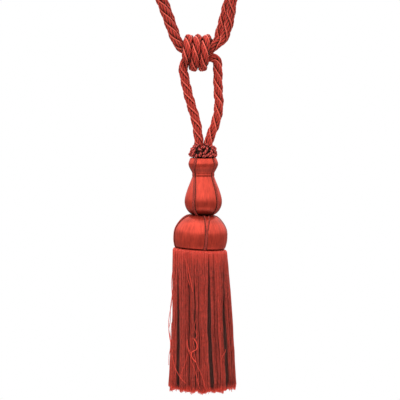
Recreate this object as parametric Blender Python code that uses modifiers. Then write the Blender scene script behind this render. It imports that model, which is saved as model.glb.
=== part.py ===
"""A curtain tieback of twisted furnishing cord with a long satin-moulded tassel, hanging from a hook.

Run with: blender --background --python part.py
Metres, +Z up. The front of the tieback faces -Y. The origin is the point where the hook carries
the two end loops, so the whole tieback hangs below it. Route and profile tables are in millimetres,
and mm() turns them into metres.
"""

import math
import random

import bmesh
import bpy
from mathutils import Matrix, Vector

MM = 0.001
GAP = 0.30  # mm left between pieces that touch on the real tieback

# Twisted cord, in mm: three plies laid up together.
CORD_R = 4.6
CORD_LAY = 41.0
PLIES = 3
STEPS_PER_LAY = 9
CORD_APART = 2 * CORD_R + 0.35
PLY_SHOULDER = 31.0  # degrees each side of a ply's crown
PLY_VALLEY = 0.72  # depth of the groove between plies, as a share of the radius

# End loops that go over the hook, in mm and degrees.
EYE_R = 18.5
EYE_REACH = 38.0  # from the eye's centre to its throat
EYE_SWEEP = 105.0
EYE_STEPS = 7
LEFT_EYE_TILT = 38.0
RIGHT_EYE_TILT = -32.0

# Coiled knot, in mm and degrees: three turns round the cords that pass through it.
KNOT_X = -2.1
KNOT_Z = -169.3
TRACK_R = CORD_APART / math.sqrt(3)
WRAP_R = TRACK_R + CORD_APART
WRAP_TOP_X = 7.5
WRAP_PITCH = 9.6
WRAP_START = -110.0
WRAP_END = 848.0
EMBRACE_Z = KNOT_Z + TRACK_R / 2
DROP_Z = KNOT_Z - TRACK_R

# Each arm of the embrace is a pair of cords. x, z and depth place the middle of the pair.
# turn is 0 where one cord lies before the other and 90 where they lie side by side.
LEFT_ARM = (
    # x, z, depth, turn
    (-9.0, EMBRACE_Z, 0.0, 0.0),
    (-13.5, EMBRACE_Z, 0.0, 0.0),
    (-18.0, -165.0, 0.0, 1.0),
    (-21.7, -161.2, 0.0, 4.0),
    (-24.8, -156.0, 0.0, 8.0),
    (-28.5, -146.5, 0.0, 12.0),
    (-34.5, -129.4, 0.0, 14.0),
    (-40.8, -112.4, 0.0, 16.0),
    (-44.1, -102.7, 0.0, 22.0),
    (-46.2, -91.0, -0.5, 35.0),
    (-45.5, -78.1, -1.5, 52.0),
    (-41.2, -65.3, -3.0, 70.0),
    (-33.2, -52.9, -4.2, 84.0),
)
RIGHT_ARM = (
    # x, z, depth, turn
    (4.0, EMBRACE_Z, 0.0, 0.0),
    (8.3, -166.2, -0.5, 2.0),
    (11.9, -164.6, -1.2, 3.0),
    (16.8, -159.8, -1.9, 6.0),
    (20.4, -156.3, -1.3, 22.0),
    (22.5, -153.0, -0.7, 33.0),
    (25.1, -145.3, -0.5, 42.0),
    (27.5, -137.2, -0.2, 43.0),
    (29.2, -129.5, 0.0, 40.0),
    (30.9, -120.9, 0.0, 32.0),
    (32.7, -112.4, 0.0, 24.0),
    (34.2, -102.7, 0.2, 26.0),
    (35.1, -91.0, 0.7, 36.0),
    (33.9, -78.0, 1.7, 54.0),
    (30.4, -65.5, 3.1, 71.0),
    (25.4, -54.0, 4.2, 84.0),
)
EYE_DEPTH = 4.9

# The drop cord goes from the tassel up through the knot and back down to the tassel.
DROP_ROUTE = (
    # x, z
    (-1.1, -280.3),
    (-1.1, -272.0),
    (-1.3, -263.2),
    (-2.0, -256.4),
    (-4.1, -242.8),
    (-8.0, -229.1),
    (-12.2, -214.6),
    (-15.9, -198.3),
    (-17.6, -189.0),
    (-17.3, -182.0),
    (-14.2, -176.8),
    (-8.6, DROP_Z),
    (-3.0, DROP_Z),
    (2.6, DROP_Z),
    (7.6, DROP_Z),
    (12.6, -173.9),
    (16.8, -176.0),
    (18.6, -181.0),
    (19.0, -188.0),
    (19.1, -200.0),
    (19.6, -213.0),
    (20.2, -222.3),
    (19.3, -232.5),
    (16.9, -242.8),
    (14.6, -249.6),
    (11.8, -256.4),
    (9.4, -263.2),
    (8.5, -272.0),
    (8.5, -280.3),
)

# Upper mould, in mm: a flared ring, a waist and a pear, turned in wood and covered in satin.
UPPER_X = 3.5
UPPER_TOP = -280.9
UPPER_PROFILE = (
    # drop, radius
    (0.0, 13.4),
    (0.9, 14.2),
    (6.6, 15.8),
    (7.9, 15.9),
    (9.2, 15.4),
    (17.8, 11.6),
    (20.4, 11.5),
    (26.4, 13.8),
    (33.9, 17.1),
    (41.5, 19.3),
    (47.5, 20.2),
    (52.8, 19.0),
    (57.0, 16.7),
    (60.2, 13.7),
    (61.2, 11.6),
)
UPPER_CORDS = (
    # degrees round from the front, degrees further round at the waist
    (-30.0, -22.0),
    (50.0, 5.0),
    (138.0, 8.0),
    (229.0, -8.0),
)
WAIST_SWING = (
    # drop, share of the swing
    (0.0, 0.10),
    (6.6, 0.18),
    (15.4, 1.0),
    (20.4, 0.95),
    (26.4, 0.45),
    (33.9, 0.12),
    (41.5, 0.0),
    (61.2, 0.05),
)

# Lower mould, in mm: a deep dome over the skirt, leaning a little as it hangs.
LOWER_X = 1.7
LOWER_TOP = -342.15
LOWER_LEAN = 3.0
LOWER_PROFILE = (
    # drop, radius
    (1.0, 12.4),
    (2.2, 17.0),
    (4.4, 20.3),
    (7.4, 23.0),
    (10.6, 25.2),
    (14.7, 27.3),
    (18.9, 28.4),
    (23.8, 28.7),
    (28.5, 28.4),
    (32.0, 27.6),
    (35.6, 26.2),
)
LOWER_CORDS = (
    # degrees round from the front, degrees further round at the waist
    (14.0, 0.0),
    (-76.0, 0.0),
    (104.0, 0.0),
    (194.0, 0.0),
)
TURN_STEPS = 28

# Thin cords laid up the moulds, in mm.
MOULD_CORD_R = 0.85

# Ruff of small looped cords round the neck, in mm.
RUFF_TOP = -269.0
RUFF_FOOT = -280.4
RUFF_PROFILE = (
    # drop, radius
    (0.0, 11.2),
    (3.4, 12.1),
    (8.0, 12.9),
    (RUFF_TOP - RUFF_FOOT, 12.6),
)
RUFF_HOLE_R = CORD_R + 0.4
RUFF_LOOP_R = 0.85
RUFF_LOOP_WIDE = 3.3
RUFF_ROWS = (
    # drop, loops, reach
    (2.2, 10, 1.2),
    (5.6, 12, 1.9),
    (9.3, 13, 2.0),
)

# Skirt, in mm: hanks of cut thread hanging from a bound head.
SKIRT_TOP_X = 0.2
SKIRT_TIP_X = 2.8
SKIRT_TOP = -378.2
SKIRT_TIP = -526.0
SKIRT_HEAD_PROFILE = (
    # drop, radius
    (0.0, 25.2),
    (0.9, 27.4),
    (2.6, 28.4),
    (6.5, 28.8),
)
SKIRT_ROOT = 4.0  # how far below the head's top the locks begin
HANKS = (
    # first edge in degrees, width in degrees
    (-54.0, 29.0),
    (-25.0, 40.0),
    (15.0, 35.0),
    (50.0, 34.0),
    (84.0, 34.0),
    (118.0, 37.0),
    (155.0, 37.0),
    (192.0, 36.0),
    (228.0, 34.0),
    (262.0, 44.0),
)
HANK_PINCH = 0.87  # how far a hank draws together towards its tips
LOCK_RINGS = (
    # radius at the head, radius at the tips, degrees a lock, half width, points
    (27.0, 34.0, 7.0, 1.60, 6),
    (21.4, 28.6, 8.8, 1.60, 5),
    (15.8, 22.2, 11.7, 1.60, 4),
    (9.6, 14.6, 18.0, 1.60, 4),
)
LOCK_RAGGED = 4.5  # how much the tips differ in length
SEED = 7

RED_CORD = (0.42, 0.035, 0.030, 1.0)
RED_SATIN = (0.62, 0.055, 0.035, 1.0)
RED_THREAD = (0.40, 0.032, 0.024, 1.0)
DARK_CORD = (0.27, 0.022, 0.020, 1.0)


def mm(x, y, z):
    return Vector((x * MM, y * MM, z * MM))


def material(name, colour, roughness):
    made = bpy.data.materials.new(name)
    made.use_nodes = True
    shader = made.node_tree.nodes["Principled BSDF"]
    shader.inputs["Base Color"].default_value = colour
    shader.inputs["Roughness"].default_value = roughness
    shader.inputs["Metallic"].default_value = 0.0
    made.diffuse_color = colour
    return made


def empty_scene():
    for obj in list(bpy.data.objects):
        bpy.data.objects.remove(obj, do_unlink=True)


def collection(name):
    made = bpy.data.collections.new(name)
    bpy.context.scene.collection.children.link(made)
    return made


def smooth_line(points, step):
    """Points step apart along a centripetal Catmull-Rom curve through the given points."""
    ends = [2 * points[0] - points[1]] + list(points) + [2 * points[-1] - points[-2]]
    fine = []
    for p0, p1, p2, p3 in zip(ends, ends[1:], ends[2:], ends[3:]):
        t1 = (p1 - p0).length ** 0.5
        t2 = t1 + (p2 - p1).length ** 0.5
        t3 = t2 + (p3 - p2).length ** 0.5
        for i in range(16):
            t = t1 + (t2 - t1) * i / 16
            a1 = p0 * ((t1 - t) / t1) + p1 * (t / t1)
            a2 = p1 * ((t2 - t) / (t2 - t1)) + p2 * ((t - t1) / (t2 - t1))
            a3 = p2 * ((t3 - t) / (t3 - t2)) + p3 * ((t - t2) / (t3 - t2))
            b1 = a1 * ((t2 - t) / t2) + a2 * (t / t2)
            b2 = a2 * ((t3 - t) / (t3 - t1)) + a3 * ((t - t1) / (t3 - t1))
            fine.append(b1 * ((t2 - t) / (t2 - t1)) + b2 * ((t - t1) / (t2 - t1)))
    fine.append(points[-1].copy())
    total = sum((b - a).length for a, b in zip(fine, fine[1:]))
    count = max(2, round(total / step))
    even, walked, at = [fine[0]], 0.0, 1
    for i in range(1, count):
        target = total * i / count
        while walked + (fine[at] - fine[at - 1]).length < target:
            walked += (fine[at] - fine[at - 1]).length
            at += 1
        piece = fine[at] - fine[at - 1]
        even.append(fine[at - 1] + piece * ((target - walked) / piece.length))
    return even + [fine[-1]]


def closed_mesh(curve):
    """A curve's surface as a mesh, with its end caps joined on and its faces outwards."""
    holder = bpy.data.objects.new(curve.name, curve)
    bpy.context.scene.collection.objects.link(holder)
    graph = bpy.context.evaluated_depsgraph_get()
    mesh = bpy.data.meshes.new_from_object(holder.evaluated_get(graph))
    bpy.data.objects.remove(holder, do_unlink=True)
    shape = bmesh.new()
    shape.from_mesh(mesh)
    bmesh.ops.remove_doubles(shape, verts=shape.verts, dist=0.00002)
    bmesh.ops.recalc_face_normals(shape, faces=shape.faces)
    shape.to_mesh(mesh)
    shape.free()
    return mesh


def ply_section(guides):
    """The cord's cross-section as a closed outline: three flat crowns and three grooves."""
    outline = bpy.data.curves.new("ply_section", "CURVE")
    outline.dimensions = "2D"
    spline = outline.splines.new("POLY")
    spline.use_cyclic_u = True
    corners = []
    for ply in range(PLIES):
        middle = 360 * ply / PLIES
        corners += [
            (middle - PLY_SHOULDER, 1.0),
            (middle + PLY_SHOULDER, 1.0),
            (middle + 180 / PLIES, PLY_VALLEY),
        ]
    spline.points.add(len(corners) - 1)
    for point, (angle, share) in zip(spline.points, corners):
        turn = math.radians(angle)
        reach = CORD_R * MM * share
        point.co = (reach * math.cos(turn), reach * math.sin(turn), 0, 1)
    section = bpy.data.objects.new("ply_section", outline)
    section.hide_render = True
    section.display_type = "WIRE"
    guides.objects.link(section)
    return section


def twisted_cord(name, points, section, look, parts, tapered=False):
    """A laid cord: the ply section carried along the route, turning once in each lay."""
    line = smooth_line(points, CORD_LAY * MM / STEPS_PER_LAY)
    curve = bpy.data.curves.new(name, "CURVE")
    curve.dimensions = "3D"
    curve.bevel_mode = "OBJECT"
    curve.bevel_object = section
    curve.use_fill_caps = True
    curve.twist_mode = "MINIMUM"
    spline = curve.splines.new("POLY")
    spline.points.add(len(line) - 1)
    for i, (point, place) in enumerate(zip(spline.points, line)):
        point.co = (*place, 1)
        point.tilt = -2 * math.pi * i / STEPS_PER_LAY
        from_end = min(i, len(line) - 1 - i)
        point.radius = min(1.0, 0.62 + 0.24 * from_end) if tapered else 1.0
    cord = bpy.data.objects.new(name, closed_mesh(curve))
    cord.data.materials.append(look)
    cord.data.shade_smooth()
    parts.objects.link(cord)
    return cord


def arm_places(rows, side):
    """Where the pair of cords in an arm lie, from the knot up: (front cord, back cord)."""
    middles = [Vector((x, depth, z)) for x, z, depth, _ in rows]
    front, back = [], []
    for i, (x, z, depth, turn) in enumerate(rows):
        along = middles[min(i + 1, len(rows) - 1)] - middles[max(i - 1, 0)]
        along.y = 0
        along.normalize()
        outward = Vector((-along.z, 0, along.x)) * (1 if side < 0 else -1)
        angle = math.radians(turn)
        across = Vector((0, -math.cos(angle), 0)) + outward * math.sin(angle)
        half = across * (CORD_APART / 2)
        front.append((middles[i] + half) * MM)
        back.append((middles[i] - half) * MM)
    return front, back


def eye_places(tilt, depth):
    """The end loop of an arm, from its outer cord round the hook to its inner cord."""
    lean = math.radians(tilt)
    centre = Vector((0, depth, CORD_R - EYE_R))
    down = Vector((-math.sin(lean), 0, -math.cos(lean)))
    outer = Vector((-math.cos(lean), 0, math.sin(lean))) * (1 if tilt > 0 else -1)
    places = [(centre + down * EYE_REACH + outer * (CORD_APART / 2)) * MM]
    for i in range(EYE_STEPS):
        sweep = math.radians(EYE_SWEEP * (1 - 2 * i / (EYE_STEPS - 1)))
        places.append(
            (centre + (outer * math.sin(sweep) - down * math.cos(sweep)) * EYE_R) * MM
        )
    places.append((centre + down * EYE_REACH - outer * (CORD_APART / 2)) * MM)
    return places


def embrace_route():
    """One cord, with its ends butted inside the knot: left arm and back, knot, right arm and back."""
    half = CORD_APART / 2
    butt = 0.6
    left_front, left_back = arm_places(LEFT_ARM, -1)
    right_front, right_back = arm_places(RIGHT_ARM, 1)
    left_eye = eye_places(LEFT_EYE_TILT, -EYE_DEPTH)
    right_eye = eye_places(RIGHT_EYE_TILT, EYE_DEPTH)
    return (
        [mm(KNOT_X - butt, half, EMBRACE_Z)]
        + left_back
        + left_eye[::-1]
        + left_front[::-1]
        + right_front
        + right_eye
        + right_back[::-1]
        + [mm(KNOT_X + butt, half, EMBRACE_Z)]
    )


def wrap_route():
    """The coil of the knot, turning down its front and leftwards as it goes."""
    count = 48
    places = []
    for i in range(count + 1):
        angle = WRAP_START + (WRAP_END - WRAP_START) * i / count
        turn = math.radians(angle)
        x = WRAP_TOP_X - WRAP_PITCH * angle / 360
        places.append(mm(x, -WRAP_R * math.sin(turn), KNOT_Z + WRAP_R * math.cos(turn)))
    return places


def turned(name, profile, look, parts):
    """A solid turned about its own Z axis from a profile of (drop, radius) rows in mm."""
    mesh = bpy.data.meshes.new(name)
    rows = [(0.0, profile[0][0])] + [(radius, drop) for drop, radius in profile]
    rows.append((0.0, profile[-1][0]))
    points = [mm(radius, 0, -drop) for radius, drop in rows]
    mesh.from_pydata(points, [(i, i + 1) for i in range(len(points) - 1)], [])
    solid = bpy.data.objects.new(name, mesh)
    screw = solid.modifiers.new("turn", "SCREW")
    screw.steps = TURN_STEPS
    screw.render_steps = TURN_STEPS
    screw.use_merge_vertices = True
    screw.merge_threshold = 0.00005
    screw.use_smooth_shade = True
    mesh.materials.append(look)
    parts.objects.link(solid)
    return solid


def swing_share(drop):
    """How much of a cord's swing it has at a drop down the upper mould."""
    for (low, before), (high, after) in zip(WAIST_SWING, WAIST_SWING[1:]):
        if drop <= high:
            return before + (after - before) * (drop - low) / (high - low)
    return WAIST_SWING[-1][1]


def thin_cord(name, profile, bearing, place, lean, look, parts):
    """A thin cord laid up a mould, from its foot to its top, just clear of the satin."""
    angle, swing = bearing
    reach = MOULD_CORD_R + GAP
    rows = [Vector((radius, 0, -drop)) for drop, radius in profile]
    places = []
    for i, row in enumerate(rows):
        along = rows[min(i + 1, len(rows) - 1)] - rows[max(i - 1, 0)]
        outward = Vector((-along.z, 0, along.x)).normalized()
        flat = row + outward * reach
        turn = math.radians(angle + swing * swing_share(profile[i][0]))
        places.append(Vector((flat.x * math.sin(turn), -flat.x * math.cos(turn), flat.z)))
    curve = bpy.data.curves.new(name, "CURVE")
    curve.dimensions = "3D"
    curve.bevel_depth = MOULD_CORD_R * MM
    curve.bevel_resolution = 1
    curve.use_fill_caps = True
    spline = curve.splines.new("POLY")
    spline.points.add(len(places) - 1)
    lay = Matrix.Rotation(math.radians(lean), 4, "Y")
    for point, flat in zip(spline.points, places):
        point.co = (*(lay @ (flat * MM)), 1)
    cord = bpy.data.objects.new(name, curve)
    cord.location = place
    curve.materials.append(look)
    parts.objects.link(cord)
    return cord


def tubes_mesh(name, lines, sides):
    """One mesh of closed tubes: lines holds (places in metres, half width in mm) for each."""
    curve = bpy.data.curves.new(name, "CURVE")
    curve.dimensions = "3D"
    curve.bevel_depth = MM
    curve.bevel_resolution = (sides - 4) // 2
    curve.use_fill_caps = True
    for places, radii in lines:
        spline = curve.splines.new("POLY")
        spline.points.add(len(places) - 1)
        for point, place, radius in zip(spline.points, places, radii):
            point.co = (*place, 1)
            point.radius = radius
    return closed_mesh(curve)


def join_to(solid, mesh, name, guides):
    """Fuses a mesh of loose tubes to a solid."""
    tool = bpy.data.objects.new(name, mesh)
    tool.hide_render = True
    tool.display_type = "WIRE"
    guides.objects.link(tool)
    fuse = solid.modifiers.new("fuse " + name, "BOOLEAN")
    fuse.operation = "UNION"
    fuse.solver = "EXACT"
    fuse.object = tool


def skirt(look, parts, guides):
    """The bound head of the skirt with its locks of thread."""
    head = turned("skirt", SKIRT_HEAD_PROFILE, look, parts)
    head.location = mm(SKIRT_TOP_X, 0, SKIRT_TOP)
    head.rotation_euler.y = math.radians(LOWER_LEAN)
    chance = random.Random(SEED)
    lines = []
    for head_r, tip_r, spacing, half, points in LOCK_RINGS:
        for first, width in HANKS:
            count = max(1, round(width / spacing))
            for i in range(count):
                share = (i + 0.5) / count
                top_turn = first + width * share
                tip_turn = first + width * (0.5 + (share - 0.5) * HANK_PINCH)
                length = SKIRT_TOP - SKIRT_TIP - chance.uniform(0, LOCK_RAGGED)
                sway = chance.uniform(-0.25, 0.25)
                places, radii = [], []
                for k in range(points):
                    t = k / (points - 1)
                    drop = SKIRT_ROOT + (length - SKIRT_ROOT) * t
                    turn = math.radians(top_turn + (tip_turn - top_turn) * t)
                    reach = head_r + (tip_r - head_r) * t**0.8
                    reach += sway * math.sin(math.pi * t)
                    centre = SKIRT_TOP_X + (SKIRT_TIP_X - SKIRT_TOP_X) * t
                    x = centre + reach * math.sin(turn)
                    y = -reach * math.cos(turn)
                    places.append(mm(x - SKIRT_TOP_X, y, -drop))
                    radii.append(half * (0.80 + 0.20 * t))
                lines.append((places, radii))
    join_to(head, tubes_mesh("locks", lines, 4), "locks", guides)
    print(f"skirt: {len(lines)} locks")
    return head


def ruff(look, parts, guides):
    """A collar with small loops of cord standing out of it, open where the drop cord passes."""
    collar = turned("neck_ruff", RUFF_PROFILE, look, parts)
    collar.location = mm(UPPER_X, 0, RUFF_TOP)
    chance = random.Random(SEED)
    lines = []
    for row, (drop, loops, reach) in enumerate(RUFF_ROWS):
        surface = RUFF_PROFILE[1][1] + (RUFF_PROFILE[2][1] - RUFF_PROFILE[1][1]) * row / 2
        for i in range(loops):
            turn = 2 * math.pi * (i + 0.5 * (row % 2)) / loops
            lean = chance.uniform(-0.7, 0.7)
            out = Vector((math.sin(turn), -math.cos(turn), 0))
            side = Vector((math.cos(turn), math.sin(turn), 0))
            up = Vector((0, 0, 1))
            across = side * math.cos(lean) + up * math.sin(lean)
            places = []
            for k in range(5):
                swing = math.pi * k / 4
                place = out * (surface - 1.0 + (reach + 0.6) * math.sin(swing))
                place += across * (RUFF_LOOP_WIDE / 2 * math.cos(swing)) - up * drop
                places.append(place * MM)
            lines.append((places, [RUFF_LOOP_R] * 5))
    join_to(collar, tubes_mesh("ruff_loops", lines, 4), "ruff_loops", guides)
    for i, x in enumerate((DROP_ROUTE[0][0], DROP_ROUTE[-1][0])):
        name = f"ruff_hole_{i + 1}"
        hole = bpy.data.meshes.new(name)
        shape = bmesh.new()
        bmesh.ops.create_cone(
            shape,
            cap_ends=True,
            segments=16,
            radius1=RUFF_HOLE_R * MM,
            radius2=RUFF_HOLE_R * MM,
            depth=40 * MM,
        )
        shape.to_mesh(hole)
        shape.free()
        cutter = bpy.data.objects.new(name, hole)
        cutter.location = mm(x, 0, (RUFF_TOP + RUFF_FOOT) / 2)
        cutter.hide_render = True
        cutter.display_type = "WIRE"
        guides.objects.link(cutter)
        cut = collar.modifiers.new(name, "BOOLEAN")
        cut.operation = "DIFFERENCE"
        cut.solver = "EXACT"
        cut.object = cutter
    return collar


def move_guides(solid, names):
    """Puts the loose tubes of a fused piece where that piece is."""
    for name in names:
        bpy.data.objects[name].location = solid.location


def main():
    empty_scene()
    parts = collection("curtain_tieback")
    guides = collection("guides")
    cord_look = material("twisted_cord", RED_CORD, 0.6)
    satin_look = material("satin", RED_SATIN, 0.35)
    thread_look = material("skirt_thread", RED_THREAD, 0.55)
    trim_look = material("mould_cord", DARK_CORD, 0.6)

    section = ply_section(guides)
    twisted_cord("embrace_cord", embrace_route(), section, cord_look, parts)
    twisted_cord("knot_wrap", wrap_route(), section, cord_look, parts, tapered=True)
    drop = [mm(x, 0, z) for x, z in DROP_ROUTE]
    twisted_cord("drop_cord", drop, section, cord_look, parts)

    upper = turned("upper_mould", UPPER_PROFILE, satin_look, parts)
    upper.location = mm(UPPER_X, 0, UPPER_TOP)
    for i, bearing in enumerate(UPPER_CORDS):
        name = f"upper_cord_{i + 1}"
        thin_cord(name, UPPER_PROFILE[1:-1], bearing, upper.location, 0, trim_look, parts)

    lower = turned("lower_mould", LOWER_PROFILE, satin_look, parts)
    lower.location = mm(LOWER_X, 0, LOWER_TOP)
    lower.rotation_euler.y = math.radians(LOWER_LEAN)
    for i, bearing in enumerate(LOWER_CORDS):
        name = f"lower_cord_{i + 1}"
        thin_cord(name, LOWER_PROFILE[1:], bearing, lower.location, LOWER_LEAN, trim_look, parts)

    collar = ruff(trim_look, parts, guides)
    move_guides(collar, ["ruff_loops"])
    head = skirt(thread_look, parts, guides)
    move_guides(head, ["locks"])
    print(f"{len(parts.objects)} pieces")


main()
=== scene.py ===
# %% [markdown]
# # A tasselled curtain tieback
# A tieback holds a drawn curtain against the wall. This one is a length of furnishing cord with a
# loop at each end for a hook, a coiled knot, and a long tassel that hangs below the knot.
# The solid model of it is loaded first, as a fixed frame. Everything that this script makes is
# laid on that frame, in metres, with +Z up and the front of the tieback facing -Y.

# %% Load the frame
import math
import random

import bpy
import numpy as np
from mathutils import Matrix, Vector


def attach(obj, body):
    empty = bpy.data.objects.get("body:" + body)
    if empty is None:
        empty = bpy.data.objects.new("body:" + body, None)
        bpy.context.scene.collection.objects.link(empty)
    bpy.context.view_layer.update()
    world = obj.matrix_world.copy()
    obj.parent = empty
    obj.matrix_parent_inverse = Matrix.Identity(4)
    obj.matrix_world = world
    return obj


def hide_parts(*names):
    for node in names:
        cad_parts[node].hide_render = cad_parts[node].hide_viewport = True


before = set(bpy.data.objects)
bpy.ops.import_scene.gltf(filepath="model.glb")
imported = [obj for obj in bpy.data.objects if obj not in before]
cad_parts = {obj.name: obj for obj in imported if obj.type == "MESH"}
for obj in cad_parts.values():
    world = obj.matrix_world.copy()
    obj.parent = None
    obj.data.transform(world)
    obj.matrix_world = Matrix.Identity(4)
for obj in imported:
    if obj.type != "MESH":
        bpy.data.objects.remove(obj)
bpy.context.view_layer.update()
bpy.ops.object.select_all(action="DESELECT")
MM = 0.001

# %% [markdown]
# ## The camera
# The photograph looks at the tieback from straight in front and a very little above. A long lens
# from far away keeps the cords parallel, as they look there. One pixel is 1.07 mm at the tieback,
# and the hook is 112 mm above the picture's upper edge.

# %% Put up the camera
PHOTO_SIDE = 400  # pixels
PIXEL = 1.07 * MM
HOOK_ABOVE = 112.3 * MM
VIEW = PHOTO_SIDE * PIXEL
VIEW_MIDDLE_Z = -(HOOK_ABOVE + PHOTO_SIDE / 2 * PIXEL)
DISTANCE = 2.25
RISE = math.radians(4.0)
SENSOR = 36  # mm

bpy.ops.object.camera_add(
    location=(0, -DISTANCE * math.cos(RISE), VIEW_MIDDLE_Z + DISTANCE * math.sin(RISE)),
    rotation=(math.pi / 2 - RISE, 0, 0),
)
camera = bpy.context.object
camera.name = "front_camera"
camera.data.sensor_width = SENSOR
camera.data.lens = SENSOR * DISTANCE / VIEW
bpy.context.scene.camera = camera
print("lens", round(camera.data.lens), "mm at", DISTANCE, "m")

# %% [markdown]
# ## Light and floor
# The photograph was taken in soft light from above, on white. So the surroundings are bright
# overhead and dim below the horizon: satin that tilts up mirrors the bright part, and satin that
# tilts down the dim one. Two large lamps add a little light from above and from the front. The
# camera alone sees the surroundings as pure white. The plain view transform keeps that white and
# the saturated reds as they are. The floor is where it would be below a curtain hook, out of the
# main view.

# %% Lamps
LAMP_WATTS = 6
LAMP_AIM = (0, 0, -0.35)  # at the moulds


def soft_lamp(name, place, size):
    """An area lamp at a place, of a width and a height in metres."""
    bpy.ops.object.light_add(type="AREA", location=place)
    lamp = bpy.context.object
    lamp.name = name
    lamp.data.shape = "RECTANGLE"
    lamp.data.size, lamp.data.size_y = size
    lamp.data.energy = LAMP_WATTS
    lamp.rotation_euler = (Vector(LAMP_AIM) - Vector(place)).to_track_quat("-Z", "Y").to_euler()


soft_lamp("top_lamp", (-0.15, -0.2, 1.5), (1.6, 1.2))
soft_lamp("front_lamp", (-0.3, -0.95, 0.6), (2.4, 1.4))

# %% Surroundings
WHITE = (1, 1, 1, 1)
# How high a direction points, from -1 straight down to 1 straight up, and how bright it is there.
SKY_LIGHT = {"From Min": -0.08, "From Max": 0.44, "To Min": 0.37, "To Max": 1.90}

world = bpy.data.worlds.new("white_room")
bpy.context.scene.world = world
bpy.context.scene.view_settings.view_transform = "Standard"
world.use_nodes = True
sky = world.node_tree.nodes
join = world.node_tree.links.new
room = sky["Background"]
room.inputs["Color"].default_value = WHITE
direction = sky.new("ShaderNodeTexCoord")
height = sky.new("ShaderNodeSeparateXYZ")
ceiling = sky.new("ShaderNodeMapRange")
ceiling.interpolation_type = "SMOOTHSTEP"
for socket, value in SKY_LIGHT.items():
    ceiling.inputs[socket].default_value = value
join(direction.outputs["Generated"], height.inputs[0])
join(height.outputs["Z"], ceiling.inputs["Value"])
join(ceiling.outputs[0], room.inputs["Strength"])
backdrop = sky.new("ShaderNodeBackground")
backdrop.inputs["Color"].default_value = WHITE
sight = sky.new("ShaderNodeLightPath")
choose = sky.new("ShaderNodeMixShader")
join(sight.outputs["Is Camera Ray"], choose.inputs["Fac"])
join(room.outputs[0], choose.inputs[1])
join(backdrop.outputs[0], choose.inputs[2])
join(choose.outputs[0], sky["World Output"].inputs["Surface"])

# %% Floor
FLOOR_Z = -0.95
FLOOR_SIDE = 1.3

bpy.ops.mesh.primitive_plane_add(size=FLOOR_SIDE, location=(0, 0, FLOOR_Z))
floor = bpy.context.object
floor.name = "floor"
floor_paint = bpy.data.materials.new("floor_paint")
floor_paint.use_nodes = True
floor_sockets = floor_paint.node_tree.nodes["Principled BSDF"].inputs
floor_sockets["Base Color"].default_value = (0.70, 0.69, 0.67, 1)
floor_sockets["Roughness"].default_value = 0.8
floor.data.materials.append(floor_paint)

# %% [markdown]
# ## Sums on shader sockets
# A material is a sum of patterns. Python can write such a sum as it writes any other, if a small
# class stands for a node's output and adds the Math node that each operator needs.


# %% A socket that can be reckoned with
class Wire:
    """The output of a shader node. Arithmetic on it adds Math nodes."""

    def __init__(self, look, socket):
        self.look = look
        self.socket = socket

    def reckon(self, operation, first, second):
        return self.look.add("ShaderNodeMath", {"operation": operation}, {0: first, 1: second})

    def __add__(self, other):
        return self.reckon("ADD", self, other)

    def __radd__(self, other):
        return self.reckon("ADD", other, self)

    def __sub__(self, other):
        return self.reckon("SUBTRACT", self, other)

    def __rsub__(self, other):
        return self.reckon("SUBTRACT", other, self)

    def __mul__(self, other):
        return self.reckon("MULTIPLY", self, other)

    def __rmul__(self, other):
        return self.reckon("MULTIPLY", other, self)


class Look:
    """A material on the Principled shader, with the values that are the same all over it."""

    def __init__(self, name, **even):
        self.material = bpy.data.materials.new(name)
        self.material.use_nodes = True
        self.tree = self.material.node_tree
        self.shader = self.tree.nodes["Principled BSDF"]
        for socket, value in even.items():
            self.shader.inputs[socket.replace("_", " ")].default_value = value

    def feed(self, socket, value):
        if isinstance(value, Wire):
            self.tree.links.new(value.socket, socket)
        elif isinstance(value, tuple) and len(value) == 3 and len(socket.default_value) == 4:
            socket.default_value = (*value, 1)
        else:
            socket.default_value = value

    def add(self, kind, settings=None, inputs=None, output=0):
        """Adds a node: its settings first, then the values or wires of its sockets."""
        node = self.tree.nodes.new(kind)
        for name, value in (settings or {}).items():
            setattr(node, name, value)
        for name, value in (inputs or {}).items():
            self.feed(node.inputs[name], value)
        return Wire(self, node.outputs[output])

    def uv(self, name):
        """The two coordinates of a UV map, each as a wire."""
        place = self.add("ShaderNodeUVMap", {"uv_map": name})
        return [self.add("ShaderNodeSeparateXYZ", {}, {0: place}, i) for i in (0, 1)]

    def tone(self, name):
        """A number that each point of the mesh carries."""
        return self.add("ShaderNodeAttribute", {"attribute_name": name}, {}, "Fac")

    def grain(self, x, y, z=0.0, detail=2.0):
        """Noise, from 0 to 1, at a place given in grains."""
        place = self.add("ShaderNodeCombineXYZ", {}, {0: x, 1: y, 2: z})
        return self.add("ShaderNodeTexNoise", {}, {"Vector": place, "Scale": 1.0, "Detail": detail})

    def between(self, share, first, second):
        """A colour that goes from first to second as share goes from 0 to 1."""
        settings = {"data_type": "RGBA"}
        # A colour Mix node has its two colours on sockets 6 and 7, and its result on output 2.
        return self.add("ShaderNodeMix", settings, {"Factor": share, 6: first, 7: second}, 2)

    def clip(self, value, low, high):
        """0 below low, 1 above high, and a straight slope between."""
        inputs = {"Value": value, "From Min": low, "From Max": high}
        return self.add("ShaderNodeMapRange", {"clamp": True}, inputs)

    def paint(self, colour):
        self.feed(self.shader.inputs["Base Color"], colour)

    def rough(self, value):
        self.feed(self.shader.inputs["Roughness"], value)

    def emboss(self, height, depth):
        """Raises the surface by a height from 0 to 1, at most depth metres."""
        bump = self.add("ShaderNodeBump", {}, {"Height": height, "Distance": depth})
        self.feed(self.shader.inputs["Normal"], bump)


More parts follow.
